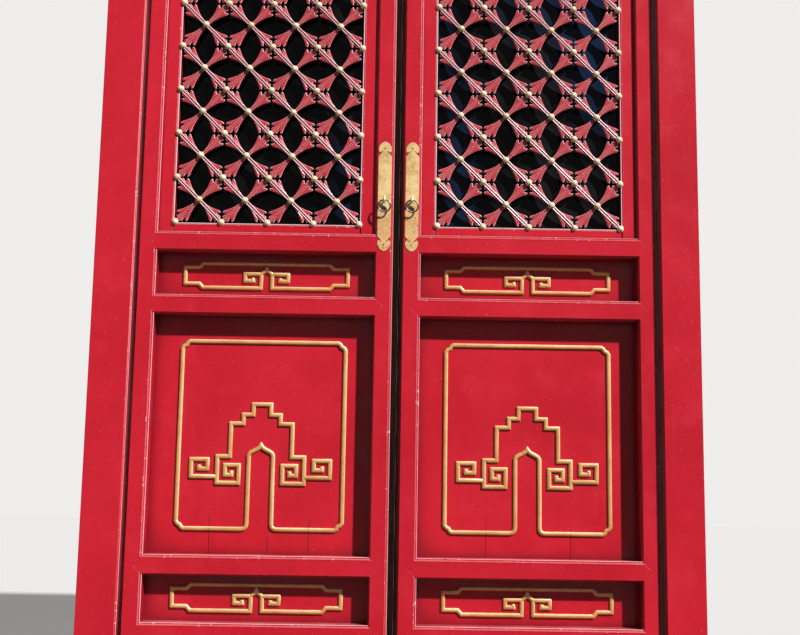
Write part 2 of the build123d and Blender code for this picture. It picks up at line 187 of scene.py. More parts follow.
class Pattern:
    """Vertices, faces and material indices collected for one piece."""

    def __init__(self):
        self.verts = []
        self.faces = []
        self.indices = []

    def add(self, verts, faces, index=0):
        start = len(self.verts)
        self.verts += verts
        self.faces += [tuple(start + i for i in face) for face in faces]
        self.indices += [index] * len(faces)

    def grid(self, rows, closed=False, index=0):
        """Skin over rows of points, from the first row to the last."""
        width = len(rows[0])
        flat = [point for row in rows for point in row]
        faces = []
        last = len(rows) if closed else len(rows) - 1
        for i in range(last):
            low = i * width
            high = (i + 1) % len(rows) * width
            for j in range(width - 1):
                faces.append((low + j, high + j, high + j + 1, low + j + 1))
        self.add(flat, faces, index)


def turned(points, angle, u, v):
    """Flat points turned by an angle in degrees, then moved."""
    c = math.cos(math.radians(angle))
    s = math.sin(math.radians(angle))
    return [(u + c * a - s * b, v + s * a + c * b, h) for a, b, h in points]


def unit(a, b):
    """Direction from one flat point to another."""
    du = b[0] - a[0]
    dv = b[1] - a[1]
    length = math.hypot(du, dv)
    return du / length, dv / length


def sweep_rows(path, profile, closed=False, soft=2.0, end=2.5):
    """Rows of a moulding that follows a path, with mitred corners that are soft on the outside.

    The profile runs from the right side of the path to the left, as (across, height).
    """
    reach = max(abs(across) for across, height in profile)
    count = len(path)
    rows = []

    def row(point, across_dir, slide, outer_side, scale=1.0, lift=1.0):
        line = []
        for across, height in profile:
            outer = max(0.0, outer_side * across / reach)
            u = point[0] + across_dir[0] * across * scale + slide[0] * outer
            v = point[1] + across_dir[1] * across * scale + slide[1] * outer
            line.append((u, v, height * lift))
        return line

    for i, point in enumerate(path):
        before = path[i - 1] if closed or i else None
        after = path[(i + 1) % count] if closed or i < count - 1 else None
        if before is None or after is None:
            direction = unit(point, after) if before is None else unit(before, point)
            across_dir = (-direction[1], direction[0])
            out = -1 if before is None else 1
            tips = []
            for angle in (35, 65, 85):
                step = out * end * math.sin(math.radians(angle))
                tip = (point[0] + direction[0] * step, point[1] + direction[1] * step)
                shrink = math.cos(math.radians(angle))
                tips.append(row(tip, across_dir, (0, 0), 0, shrink**0.6, shrink**0.6))
            main = [row(point, across_dir, (0, 0), 0)]
            rows += tips[::-1] + main if before is None else main + tips
            continue
        d1 = unit(before, point)
        d2 = unit(point, after)
        n1 = (-d1[1], d1[0])
        n2 = (-d2[1], d2[0])
        spread = 1 + n1[0] * n2[0] + n1[1] * n2[1]
        mitre = ((n1[0] + n2[0]) / spread, (n1[1] + n2[1]) / spread)
        turn = d1[0] * d2[1] - d1[1] * d2[0]
        cosine = max(-1.0, min(1.0, d1[0] * d2[0] + d1[1] * d2[1]))
        half_turn = math.acos(cosine) / 2
        if half_turn < math.radians(8):
            rows.append(row(point, mitre, (0, 0), 0))
            continue
        side = -1 if turn > 0 else 1
        back = soft * math.tan(half_turn)
        inward = soft * (1 / math.cos(half_turn) - 1)
        length = math.hypot(*mitre)
        toward = (-side * mitre[0] / length * inward, -side * mitre[1] / length * inward)
        rows.append(row(point, mitre, (-d1[0] * back, -d1[1] * back), side))
        rows.append(row(point, mitre, toward, side))
        rows.append(row(point, mitre, (d2[0] * back, d2[1] * back), side))
    return rows


def half_round(width, height, steps=8, fullness=0.75):
    """Profile of a bead, from right to left."""
    points = []
    for i in range(steps + 1):
        angle = math.pi * i / steps
        points.append((-width / 2 * math.cos(angle), height * math.sin(angle) ** fullness))
    return points


# Materials


class Shade:
    """A node material under construction."""

    def __init__(self, name):
        self.material = bpy.data.materials.new(name)
        self.material.use_nodes = True
        self.tree = self.material.node_tree
        self.tree.nodes.clear()
        self.out = self.node("ShaderNodeOutputMaterial")
        self.coord = self.node("ShaderNodeTexCoord").outputs["Object"]

    def node(self, kind, inputs=None, **settings):
        node = self.tree.nodes.new(kind)
        for key, value in settings.items():
            setattr(node, key, value)
        for key, value in (inputs or {}).items():
            if isinstance(value, bpy.types.NodeSocket):
                self.tree.links.new(value, node.inputs[key])
            else:
                node.inputs[key].default_value = value
        return node

    def noise(self, scale, detail, roughness, stretch=(1, 1, 1), offset=0.0, distortion=0.0):
        place = self.node(
            "ShaderNodeMapping",
            {"Vector": self.coord, "Scale": stretch, "Location": (offset, offset, offset)},
        )
        noise = self.node(
            "ShaderNodeTexNoise",
            {
                "Vector": place.outputs[0],
                "Scale": scale,
                "Detail": detail,
                "Roughness": roughness,
                "Distortion": distortion,
            },
        )
        return noise.outputs[0]

    def band(self, value, low, high, out_low=0.0, out_high=1.0):
        """Value between low and high spread smoothly over a new range."""
        node = self.node(
            "ShaderNodeMapRange",
            {
                "Value": value,
                "From Min": low,
                "From Max": high,
                "To Min": out_low,
                "To Max": out_high,
            },
            interpolation_type="SMOOTHSTEP",
        )
        return node.outputs[0]

    def math(self, operation, a, b=0.5):
        return self.node("ShaderNodeMath", {0: a, 1: b}, operation=operation).outputs[0]

    def times(self, a, b):
        return self.math("MULTIPLY", a, b)

    def mix(self, factor, a, b):
        """Colour between a and b, each a socket or red, green and blue."""
        a, b = [end if isinstance(end, bpy.types.NodeSocket) else (*end, 1) for end in (a, b)]
        node = self.node("ShaderNodeMix", {"Factor": factor, 6: a, 7: b}, data_type="RGBA")
        return node.outputs[2]

    def axis(self, index):
        return self.node("ShaderNodeSeparateXYZ", {0: self.coord}).outputs[index]

    def edge(self, radius, low, high):
        """Mask that is 1 on the sharp edges of the piece."""
        bevel = self.node("ShaderNodeBevel", {"Radius": radius}, samples=4)
        true = self.node("ShaderNodeNewGeometry").outputs["True Normal"]
        dot = self.node(
            "ShaderNodeVectorMath", {0: bevel.outputs[0], 1: true}, operation="DOT_PRODUCT"
        )
        return self.band(dot.outputs["Value"], low, high)

    def facing(self, direction, low, high):
        """Mask of the sides that face a direction."""
        normal = self.node("ShaderNodeNewGeometry").outputs["Normal"]
        toward = self.node(
            "ShaderNodeVectorMath", {0: normal, 1: direction}, operation="DOT_PRODUCT"
        )
        return self.band(toward.outputs["Value"], low, high)

    def cracks(self, cracks, foot):
        """Mask of upright hairline cracks, each as a place across and a length above the foot."""
        across = self.axis(0)
        up = self.axis(2)
        waver = self.times(self.band(self.noise(16.0, 5.0, 0.6), 0.2, 0.8), 0.004)
        bent = self.math("ADD", across, waver)
        total = None
        for at, length in cracks:
            off = self.math("ABSOLUTE", self.math("SUBTRACT", bent, at + 0.002))
            line = self.band(off, 0.0012, 0.0006)
            ends = self.band(up, foot + length, foot + length * 0.6)
            line = self.times(line, ends)
            total = line if total is None else self.math("MAXIMUM", total, line)
        return total

    def bleached_and_sunlit(self):
        """Mask of the sides that face up and to the right, towards the key light: paint there is
        faded, and pale paint there is also painted highlight.
        """
        return self.facing((0.62, -0.40, 0.68), 0.60, 0.74)

    def finish(self, colour, roughness, bumps=(), metallic=0.0, ior=1.45, rounding=0.0):
        """Join colour, roughness and bumps, and give back the material."""
        shader = self.node(
            "ShaderNodeBsdfPrincipled",
            {"Base Color": colour, "Roughness": roughness, "Metallic": metallic, "IOR": ior},
        )
        normal = None
        if rounding:
            normal = self.node("ShaderNodeBevel", {"Radius": rounding}, samples=4).outputs[0]
        for height, distance in bumps:
            bump = self.node("ShaderNodeBump", {"Height": height, "Distance": distance})
            if normal is not None:
                self.tree.links.new(normal, bump.inputs["Normal"])
            normal = bump.outputs[0]
        if normal is not None:
            self.tree.links.new(normal, shader.inputs["Normal"])
        self.tree.links.new(shader.outputs[0], self.out.inputs["Surface"])
        return self.material


RED = (0.61, 0.0135, 0.030)
LEAF_REDS = ((0.51, 0.008, 0.020), RED, (0.63, 0.022, 0.042))
PETAL_REDS = ((0.47, 0.018, 0.032), (0.56, 0.032, 0.05), (0.64, 0.075, 0.095))
# Near-black reds of the grooves along the lattice mouldings: painted shade in the creases.
GROOVE_SHADE_REDS = ((0.07, 0.006, 0.008), (0.10, 0.008, 0.012), (0.12, 0.012, 0.018))
PRIMER = (0.72, 0.42, 0.40)
GRIME = (0.05, 0.006, 0.008)


def red_paint(
    name, grain, wear=0.55, dust=0.5, cracks=(), crack_foot=0.0, reds=LEAF_REDS, painted_corner_shade=0.65
):
    """Glossy red paint over timber. grain stretches the brush and wood lines along the piece."""
    s = Shade(name)
    cloud = s.noise(2.2, 5.0, 0.6)
    patch = s.noise(9.0, 4.0, 0.6, offset=3.1)
    lines = s.noise(38.0, 5.0, 0.62, stretch=grain, offset=1.7)
    fine = s.noise(420.0, 2.0, 0.5)
    deep, main, faded = reds
    colour = s.mix(s.band(cloud, 0.35, 0.68), deep, main)
    colour = s.mix(s.times(s.band(patch, 0.48, 0.75), 0.55), colour, faded)
    colour = s.mix(s.times(s.band(lines, 0.52, 0.8), 0.35), colour, faded)
    specks = s.band(s.noise(240.0, 2.0, 0.5, offset=5.0), 0.71, 0.76)
    colour = s.mix(s.times(specks, 0.4), colour, PRIMER)
    settled = s.times(s.facing((0, 0, 1), 0.3, 0.9), s.band(s.noise(9.0, 6.0, 0.62), 0.30, 0.70))
    colour = s.mix(s.times(settled, dust), colour, (0.66, 0.34, 0.33))
    # Pale streaks on the sides that face the light: faded paint and painted highlight.
    streaks = s.band(s.noise(24.0, 6.0, 0.7, stretch=grain, offset=6.0), 0.3, 0.6, 0.25, 0.75)
    bleached_and_highlit = s.times(s.times(s.bleached_and_sunlit(), streaks), wear)
    colour = s.mix(bleached_and_highlit, colour, (0.78, 0.30, 0.33))
    rim = s.edge(0.0016, 0.985, 0.80)
    chips = s.band(s.noise(34.0, 7.0, 0.75, offset=8.0), 0.50, 0.60)
    worn = s.times(s.times(rim, chips), wear)
    colour = s.mix(worn, colour, PRIMER)
    if painted_corner_shade:
        # Painted shade: the red turns near black where ambient occlusion finds corners and
        # recesses.
        corner = s.node("ShaderNodeAmbientOcclusion", {"Distance": 0.10}, samples=8)
        depth = s.band(corner.outputs["AO"], 0.86, 0.42, 0.0, painted_corner_shade)
        colour = s.mix(depth, colour, (0.07, 0.003, 0.008))
    height = s.times(worn, -1.0)
    if cracks:
        lines_cut = s.cracks(cracks, crack_foot)
        colour = s.mix(lines_cut, colour, GRIME)
        height = s.math("SUBTRACT", height, lines_cut)
    rough = s.band(patch, 0.3, 0.75, 0.27, 0.42)
    bumps = [(lines, 0.00035), (fine, 0.00006), (height, 0.0004)]
    return s.finish(colour, rough, bumps, ior=1.31, rounding=0.0014)


def moulding_paint(name, amount, pale, shine=0.24, sunward_only=False):
    """Red paint on thin mouldings and carved edges, pale in patches as worn paint and as painted
    highlight, and if asked only on the sides that face the light.
    """
    s = Shade(name)
    rub_and_highlight = s.noise(55.0, 6.0, 0.7)
    lines = s.noise(300.0, 3.0, 0.6)
    # Pale patches: worn paint and painted highlight.
    worn = s.times(s.band(rub_and_highlight, 0.15, 0.5, 0.55, 1.0), amount)
    if sunward_only:
        worn = s.times(worn, s.bleached_and_sunlit())
    colour = s.mix(worn, RED, pale)
    chips = s.band(s.noise(90.0, 5.0, 0.7, offset=2.0), 0.60, 0.68)
    colour = s.mix(chips, colour, (0.8, 0.68, 0.65))
    nicks = s.band(s.noise(70.0, 5.0, 0.7, offset=12.0), 0.63, 0.69)
    colour = s.mix(nicks, colour, (0.14, 0.02, 0.022))
    return s.finish(colour, shine, [(lines, 0.00008)])


def gilding(name, pale, deep, shadow, metallic, cream=None, cracks=(), crack_foot=0.0):
    """Gold paint, darker in its hollows as painted shade, with brush marks, a few bare specks and,
    if a pale colour is given, a painted highlight.
    """
    s = Shade(name)
    cloud = s.noise(14.0, 6.0, 0.62)
    brush = s.noise(120.0, 4.0, 0.6)
    colour = s.mix(s.band(cloud, 0.34, 0.66), deep, pale)
    colour = s.mix(s.times(s.band(brush, 0.56, 0.74), 0.5), colour, shadow)
    # Painted shade: darker gold where ambient occlusion finds hollows and the foot of each strap.
    painted_hollow_shade = s.node("ShaderNodeAmbientOcclusion", {"Distance": 0.007}, samples=4)
    colour = s.mix(s.band(painted_hollow_shade.outputs["AO"], 0.62, 0.18, 0.0, 0.75), colour, shadow)
    if cracks:
        colour = s.mix(s.times(s.cracks(cracks, crack_foot), 0.8), colour, shadow)
    # Painted highlight: a pale colour on the sides that face the light.
    if cream:
        top = s.times(s.bleached_and_sunlit(), s.band(brush, 0.35, 0.6, 0.4, 0.9))
        colour = s.mix(top, colour, cream)
    rough = s.band(cloud, 0.3, 0.7, 0.34, 0.5)
    bumps = [(cloud, 0.0006), (brush, 0.0002)]
    return s.finish(colour, rough, bumps, metallic=metallic)


# Heights where the pitting of a plate starts and is full, and place and size of its dark patch,
# in metres
PITS_TOP = 1.335
PITS_FULL = 1.29
PATCH_LEFT = 0.002
PATCH_DROP = 0.006
PATCH_HALF_W = 0.0095
PATCH_HALF_H = 0.0062


def plate_brass():
    """Mottled brass, pitted below the ring, with a dark oval patch inside the ring."""
    s = Shade("plate_brass")
    cloud = s.noise(28.0, 6.0, 0.65)
    blotch = s.noise(75.0, 5.0, 0.7, offset=4.0)
    colour = s.mix(s.band(cloud, 0.36, 0.64), (0.60, 0.36, 0.12), (0.81, 0.59, 0.26))
    colour = s.mix(s.times(s.band(blotch, 0.5, 0.68), 0.6), colour, (0.90, 0.72, 0.38))
    up = s.axis(2)
    below = s.band(up, PITS_TOP, PITS_FULL, 0.12, 1.0)
    colour = s.mix(s.times(below, 0.5), colour, (0.70, 0.34, 0.13))
    pits = s.band(s.noise(230.0, 3.0, 0.6, offset=6.0), 0.60, 0.65)
    colour = s.mix(s.times(pits, below), colour, (0.16, 0.07, 0.02))
    stain = s.band(s.noise(60.0, 5.0, 0.7, offset=9.0), 0.58, 0.72)
    colour = s.mix(s.times(stain, 0.45), colour, (0.36, 0.18, 0.07))
    ring_z = (LEAF_Z + PLATE_Z - EYE_DROP - RING_R) / 1000
    across = s.math("ABSOLUTE", s.axis(0))
    for sign in (1, -1):
        centre = PULL_X / 1000 - sign * PATCH_LEFT
        side = s.math("GREATER_THAN", s.times(s.axis(0), sign), 0.0)
        du = s.math("DIVIDE", s.math("SUBTRACT", across, centre), PATCH_HALF_W)
        dv = s.math("DIVIDE", s.math("SUBTRACT", up, ring_z - PATCH_DROP), PATCH_HALF_H)
        far = s.math("ADD", s.times(du, du), s.times(dv, dv))
        dark = s.times(s.band(far, 1.15, 0.75), side)
        colour = s.mix(s.times(dark, 0.95), colour, (0.045, 0.028, 0.02))
    rim = s.edge(0.0007, 0.98, 0.8)
    colour = s.mix(s.times(rim, 0.7), colour, (0.92, 0.80, 0.52))
    rough = s.band(cloud, 0.3, 0.7, 0.36, 0.55)
    return s.finish(colour, rough, [(blotch, 0.0003), (pits, -0.0002)], metallic=0.12)


def ring_bronze():
    """Dark bronze, varied in tone, with a painted highlight on the sides that face the light."""
    s = Shade("ring_bronze")
    cloud = s.noise(160.0, 5.0, 0.65)
    colour = s.mix(s.band(cloud, 0.42, 0.7), (0.030, 0.020, 0.015), (0.10, 0.07, 0.05))
    # Painted highlight: pale bronze on the sides that face the light.
    painted_highlight = s.facing((0.42, -0.55, 0.72), 0.62, 0.90)
    colour = s.mix(s.times(painted_highlight, 0.8), colour, (0.60, 0.50, 0.42))
    return s.finish(colour, 0.22, [(cloud, 0.0001)], metallic=0.15)


def dark_glass():
    """Old dark pane with a little dust, and with painted reflections in grey and blue that grow to
    the right.
    """
    s = Shade("dark_glass")
    # Painted reflections: grey clouds and blue patches, stronger to the right.
    rightward = s.times(s.axis(0), 0.22)
    cloud = s.math("ADD", s.noise(3.0, 4.0, 0.6), rightward)
    colour = s.mix(s.band(cloud, 0.45, 0.65), (0.0012, 0.0013, 0.0015), (0.010, 0.010, 0.010))
    patches = s.noise(2.6, 2.0, 0.45, stretch=(1.6, 1, 0.6), offset=3.0)
    painted_sky_reflection = s.band(s.math("ADD", patches, rightward), 0.50, 0.70)
    colour = s.mix(painted_sky_reflection, colour, (0.008, 0.021, 0.055))
    dust = s.band(s.noise(60.0, 6.0, 0.7), 0.62, 0.8, 0.0, 0.2)
    colour = s.mix(dust, colour, (0.06, 0.055, 0.05))
    waves = s.noise(7.0, 2.0, 0.4)
    return s.finish(colour, 0.07, [(waves, 0.002)], ior=1.13)


def bare_wood():
    """Unpainted dark brown timber."""
    s = Shade("bare_wood")
    lines = s.noise(30.0, 6.0, 0.65, stretch=(9, 9, 0.35), distortion=0.6)
    colour = s.mix(s.band(lines, 0.35, 0.65), (0.17, 0.105, 0.072), (0.40, 0.27, 0.195))
    return s.finish(colour, 0.72, [(lines, 0.0008)], rounding=0.0015)


# Stretch of the wood and brush lines
UPRIGHT = (1.0, 1.0, 0.06)
LEVEL = (0.06, 1.0, 1.0)
EVEN = (1, 1, 1)

paint_upright = red_paint("red_paint_upright", UPRIGHT)
paint_level = red_paint("red_paint_level", LEVEL, wear=0.6, dust=0.5)
paint_strips = red_paint("red_paint_strips", UPRIGHT, wear=0.75, dust=0.6)
paint_petals = red_paint("red_paint_petals", EVEN, wear=0.25, dust=0.3, reds=PETAL_REDS, painted_corner_shade=0.0)
# The pale colours of the reeds, ridges, veins, petal edges, petal tips and edge beads are painted
# highlight as well as worn paint.
paint_reeds = moulding_paint("red_paint_reeds", 0.95, (0.80, 0.56, 0.57))
paint_ridge = moulding_paint("red_paint_ridge", 0.9, (0.78, 0.36, 0.35))
paint_vein = moulding_paint("red_paint_vein", 0.5, (0.70, 0.18, 0.20))
paint_petal_edge = moulding_paint("red_paint_petal_edge", 0.7, (0.72, 0.27, 0.30))
paint_bead_highlight = moulding_paint("red_paint_bead_highlight", 1.0, (0.84, 0.57, 0.58), 0.3, sunward_only=True)
paint_rubbed_and_highlit = moulding_paint("red_paint_rubbed_and_highlit", 0.9, (0.84, 0.62, 0.63), 0.3)
paint_petal_tip = moulding_paint("red_paint_petal_tip", 0.9, (0.80, 0.54, 0.55))
# Painted shade in the grooves of the lattice mouldings.
paint_groove = red_paint("red_paint_groove", EVEN, wear=0.0, dust=0.0, reds=GROOVE_SHADE_REDS, painted_corner_shade=0.0)
# Gold colours and metal, with a pale colour last that is painted highlight.
GOLD = ((0.68, 0.37, 0.13), (0.58, 0.27, 0.08), (0.22, 0.08, 0.02), 0.15, (0.86, 0.66, 0.40))
gold_strap = gilding("gold_strap", *GOLD)
gold_boss = gilding("gold_boss", (0.84, 0.74, 0.50), (0.70, 0.54, 0.30), (0.30, 0.15, 0.05), 0.1)
brass = plate_brass()
pale_brass = gilding("pale_brass", (0.85, 0.74, 0.52), (0.66, 0.50, 0.28), (0.20, 0.11, 0.05), 0.4)
nail_brass = gilding("nail_brass", (0.34, 0.17, 0.06), (0.22, 0.10, 0.035), (0.06, 0.03, 0.02), 0.4)
bronze = ring_bronze()
glass = dark_glass()
timber = bare_wood()


# Lattice


# Half outline of a petal, from the star to the junction, as (along, half width)
PETAL = [
    (0.0, 5.0),
    (12.0, 5.2),
    (22.0, 6.0),
    (30.0, 7.3),
    (38.0, 9.4),
    (45.0, 11.8),
    (52.0, 14.8),
    (58.0, 17.6),
    (62.0, 19.4),
    (65.4, 20.3),
    (68.0, 19.9),
    (69.2, 18.2),
    (68.6, 16.2),
    (66.4, 13.8),
    (64.6, 11.2),
    (64.8, 9.2),
    (67.4, 8.4),
    (70.6, 9.2),
    (74.0, 10.6),
    (77.0, 10.6),
    (78.6, 8.8),
    (79.2, 6.8),
    (82.0, 5.4),
    (HALF_DIAGONAL, 5.0),
]


def inset(outline, distance):
    """Open outline moved to its right by a distance, along its corner normals."""
    moved = []
    for i, point in enumerate(outline):
        before = outline[max(i - 1, 0)]
        after = outline[min(i + 1, len(outline) - 1)]
        direction = unit(before, after)
        moved.append((point[0] + direction[1] * distance, point[1] - direction[0] * distance))
    return moved


def petal_pair(top, depth, bevel=1.5):
    """Two petals that meet at a star, along u, from one junction to the next.

    Gives points, plain faces, and the bevelled faces with the index of their material.
    """
    upper = [(-s, w) for s, w in reversed(PETAL)] + PETAL[1:]
    inner = inset(upper, bevel)
    inner[0] = (upper[0][0], inner[0][1])
    inner[-1] = (upper[-1][0], inner[-1][1])
    half = len(upper)
    levels = [(upper, top - depth), (upper, top - bevel), (inner, top)]
    points = []
    for outline, height in levels:
        points += [(s, w, height) for s, w in outline]
        points += [(s, -w, height) for s, w in reversed(outline)]
    ring = 2 * half
    sides = []
    edges = []
    for i in range(ring - 1):
        if i == half - 1:
            continue
        sides.append((i + 1, i, i + ring, i + 1 + ring))
        at_lobe = min(abs(points[i][0]), abs(points[i + 1][0])) > LOBE_START
        bevel_face = (i + 1 + ring, i + ring, i + 2 * ring, i + 1 + 2 * ring)
        edges.append((TIPS if at_lobe else EDGES, bevel_face))
    face = tuple(2 * ring + i for i in reversed(range(ring)))
    back = tuple(range(ring))
    return points, sides + [face, back], edges


def veins(top):
    """Fine raised lines from each notch of a petal pair toward the star."""
    profile = [(-0.75, -0.3), (-0.5, 0.25), (0.0, 0.5), (0.5, 0.25), (0.75, -0.3)]
    for sign_s in (-1, 1):
        for sign_w in (-1, 1):
            line = [(20.0, 4.6), (34.0, 6.2), (46.0, 8.0), (56.0, 9.8), (62.5, 11.2)]
            path = [(sign_s * s, sign_w * w) for s, w in line]
            rows = sweep_rows(path, profile, end=0.6)
            yield [[(s, w, top + h) for s, w, h in row] for row in rows]


def cell_places():
    """Middle of every cell, from the middle of the lattice's foot."""
    for row in range(ROWS):
        for col in range(COLS):
            yield (col + 0.5) * CELL - LATTICE_W / 2, (row + 0.5) * CELL


def diagonals(falling):
    """Start and end of every bar, from border to border."""
    for diagonal in range(1, COLS + ROWS):
        first = max(0, diagonal - ROWS)
        last = min(diagonal, COLS)
        v1 = (diagonal - first) * CELL
        v2 = (diagonal - last) * CELL
        if not falling:
            v1 = LATTICE_H - v1
            v2 = LATTICE_H - v2
        yield first * CELL - LATTICE_W / 2, v1, last * CELL - LATTICE_W / 2, v2


def round_ribs(offsets, radius, base, overlap, steps=6):
    """Profile lines of parallel beads, each from right to left."""
    ribs = []
    for offset in offsets:
        rib = []
        for i in range(steps + 1):
            turn = math.pi * i / steps
            height = base - overlap + (radius + overlap) * math.sin(turn)
            rib.append((offset - radius * math.cos(turn), height))
        ribs.append(rib)
    return ribs


def lattice_bars(falling):
    """All petals and mouldings of the bars that run one way."""
    pattern = Pattern()
    angle = -45 if falling else 45
    top = FALLING_TOP if falling else RISING_TOP
    points, plain, edges = petal_pair(top, PETAL_T)
    for u, v in cell_places():
        jitter = random.uniform(-PETAL_TWIST, PETAL_TWIST)
        placed = turned(points, angle + jitter, u, v)
        pattern.add(placed, plain, PETALS)
        start = len(pattern.verts) - len(placed)
        for kind, face in edges:
            pattern.faces.append(tuple(start + i for i in face))
            pattern.indices.append(kind)
        for vein in veins(top):
            rows = [turned(row, angle + jitter, u, v) for row in vein]
            pattern.grid(rows, index=VEINS)
    base = REED_BASE if falling else RIDGE_BASE
    if falling:
        ribs = round_ribs((-3.4, 3.4), 1.85, base, 0.5)
        ribs += round_ribs((0.0,), 0.6, base, 0.5)
        bed = [(-5.6, 6.0), (-5.5, base), (5.5, base), (5.6, 6.0)]
        kinds = (GROOVES, REEDS, REEDS, PETALS)
    else:
        ribs = round_ribs((-2.3, 2.3), 0.95, base, 0.3)
        ribs.append([(-1.2, base), (-1.1, 15.45), (1.1, 15.45), (1.2, base)])
        bed = [(-5.0, 5.0), (-5.0, base), (5.0, base), (5.0, 5.0)]
        kinds = (PETALS, REEDS, REEDS, GROOVES)
    for u1, v1, u2, v2 in diagonals(falling):
        du, dv = unit((u1, v1), (u2, v2))
        start = (u1 - du * BAR_OVERRUN, v1 - dv * BAR_OVERRUN)
        end = (u2 + du * BAR_OVERRUN, v2 + dv * BAR_OVERRUN)
        for index, profile in zip(kinds, [bed] + ribs):
            rows = [[(u - dv * t, v + du * t, h) for t, h in profile] for u, v in (start, end)]
            pattern.grid(rows, index=index)
    return pattern


def dome(radius, height, sides=16, rings=5):
    """Round boss with a low collar, as points and faces."""
    points = []
    levels = [(1.06, 0.0), (1.06, 0.09), (0.97, 0.13)]
    for i in range(1, rings):
        angle = math.pi / 2 * i / rings
        levels.append((0.97 * math.cos(angle), 0.13 + 0.87 * math.sin(angle)))
    for scale, rise in levels:
        for j in range(sides):
            turn = 2 * math.pi * j / sides
            reach = radius * scale
            points.append((reach * math.cos(turn), reach * math.sin(turn), height * rise))
    points.append((0.0, 0.0, height))
    faces = []
    for i in range(len(levels) - 1):
        for j in range(sides):
            k = (j + 1) % sides
            faces.append((i * sides + j, i * sides + k, (i + 1) * sides + k, (i + 1) * sides + j))
    low = (len(levels) - 1) * sides
    for j in range(sides):
        faces.append((low + j, low + (j + 1) % sides, len(points) - 1))
    return points, faces


def lattice_bosses():
    """Domes on every junction and every star, each a little different."""
    pattern = Pattern()
    places = list(cell_places())
    for row in range(ROWS + 1):
        for col in range(COLS + 1):
            places.append((col * CELL - LATTICE_W / 2, row * CELL))
    points, faces = dome(BOSS_D / 2 - BOSS_MARGIN, BOSS_H + BOSS_SINK)
    for u, v in places:
        lump = random.uniform(-BOSS_LUMP, BOSS_LUMP)
        size = random.uniform(0.96, 1.0)
        shaped = []
        for a, b, h in points:
            wobble = 1 + 0.02 * math.sin(3 * math.atan2(b, a) + lump * 20)
            lean = lump * h / BOSS_H
            shaped.append((a * size * wobble + lean, b * size * wobble, h * size - BOSS_SINK))
        pattern.add(turned(shaped, random.uniform(0, 360), u, v), faces)
    return pattern


def dress_lattice(name, side):
    x = side * LEAF_X
    z = LEAF_Z + LATTICE[0] + END_STRIP + EDGE_GAP
    body = f"{name}_leaf"
    layers = {
        "lattice_falling_bars": (True, LATTICE_FRONT + BAR_LAYER),
        "lattice_rising_bars": (False, LATTICE_FRONT + 2 * BAR_LAYER),
    }
    for label, (falling, back) in layers.items():
        pattern = lattice_bars(falling)
        obj = piece(
            f"{name}_carved_{label}",
            to_row(pattern.verts, x, back, z),
            pattern.faces,
            body,
            [
                paint_petals,
                paint_petal_edge,
                paint_reeds if falling else paint_ridge,
                paint_groove,
                paint_vein,
                paint_petal_tip,
            ],
            indices=pattern.indices,
        )
        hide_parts(f"{name}_{label}")
    pattern = lattice_bosses()
    obj = piece(
        f"{name}_gilded_bosses",
        to_row(pattern.verts, x, LATTICE_FRONT, z),
        pattern.faces,
        body,
        [gold_boss],
        smooth=60,
    )
    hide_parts(f"{name}_lattice_bosses")


# Straps


def steps(start, moves):
    """Points of a path given as its start and its moves."""
    points = [start]
    for across, up in moves:
        points.append((points[-1][0] + across, points[-1][1] + up))
    return points


def mirrored(points):
    """The same path on the other side of the middle line, in the opposite order."""
    return [(-across, up) for across, up in reversed(points)]


def skirt_border():
    """Closed border whose foot turns up into a pointed arch."""
    half = [(0, -31), (4, -37), (9.5, -41), (17, -45), (25, -49), (30.5, -53), (33.7, -59.5)]
    half += [(33.7, -246), (35.6, -254), (40.5, -259), (48, -261)]
    nubs = [(208, 0), (214, 3.6), (217.5, 10), (224.5, 13.5), (228.7, 20)]
    half += [(across, rise - 261) for across, rise in nubs]
    half += [(across, 257 - drop) for across, drop in reversed(nubs)]
    return half + mirrored(half[1:])


def skirt_fret():
    """Key fret: a stepped line with a hook at each end, and two side hooks."""
    arm = [(24.5, 0), (0, -29), (27, 0), (0, -25), (34, 0), (0, -91), (35, 0), (0, -73)]
    hook = [(-60, 0), (0, 49), (38, 0), (0, -27), (-18, 0), (0, 10)]
    side_hook = [(72, 0), (0, 47), (-45, 0), (0, -26), (23, 0), (0, 9)]
    half = steps((0, 82), arm + hook)
    branch = steps((120.5, -119), side_hook)
    return [mirrored(half) + half[1:], branch, mirrored(branch)]


def waist_strap():
    """Long cartouche, open at the foot where two hooks turn up and in."""
    half = [(39.5, -7.5), (38, -14.5), (61, -14.5), (61, 5.5), (19, 5.5), (15.8, 2.5), (15.4, -2)]
    half += [(15.4, -35.2), (180, -35.2), (190, -24), (230.5, -24)]
    half += [(230.5, 24), (190, 24), (180, 35.2), (0, 35.2)]
    cusp = [(-17, 3), (-13.5, 7.5), (-8.5, 11.5), (-3, 15), (0, 21.5)]
    cusp += mirrored(cusp[:-1])
    return [half + mirrored(half)[1:], cusp]


def skirt_cracks(side):
    """Cracks at the foot of a skirt panel, measured in the picture, and the panel's foot."""
    if side < 0:
        cracks = [(-136, 125), (25, 60), (138, 115)]
    else:
        cracks = [(-114, 115), (119, 100)]
    placed = [((side * LEAF_X + across) / 1000, length / 1000) for across, length in cracks]
    return placed, (LEAF_Z + SKIRT[0]) / 1000


def strap(name, nodes_replaced, x, opening, paths, width, body, gold, soft=2.0):
    """Round-topped gold strap on a panel."""
    pattern = Pattern()
    profile = half_round(width, STRAP_H)
    for path, closed in paths:
        pattern.grid(sweep_rows(path, profile, closed, soft), closed)
    middle = LEAF_Z + sum(opening) / 2
    obj = piece(
        name, to_row(pattern.verts, x, PANEL_FRONT, middle), pattern.faces, body, [gold]
    )
    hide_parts(*nodes_replaced)


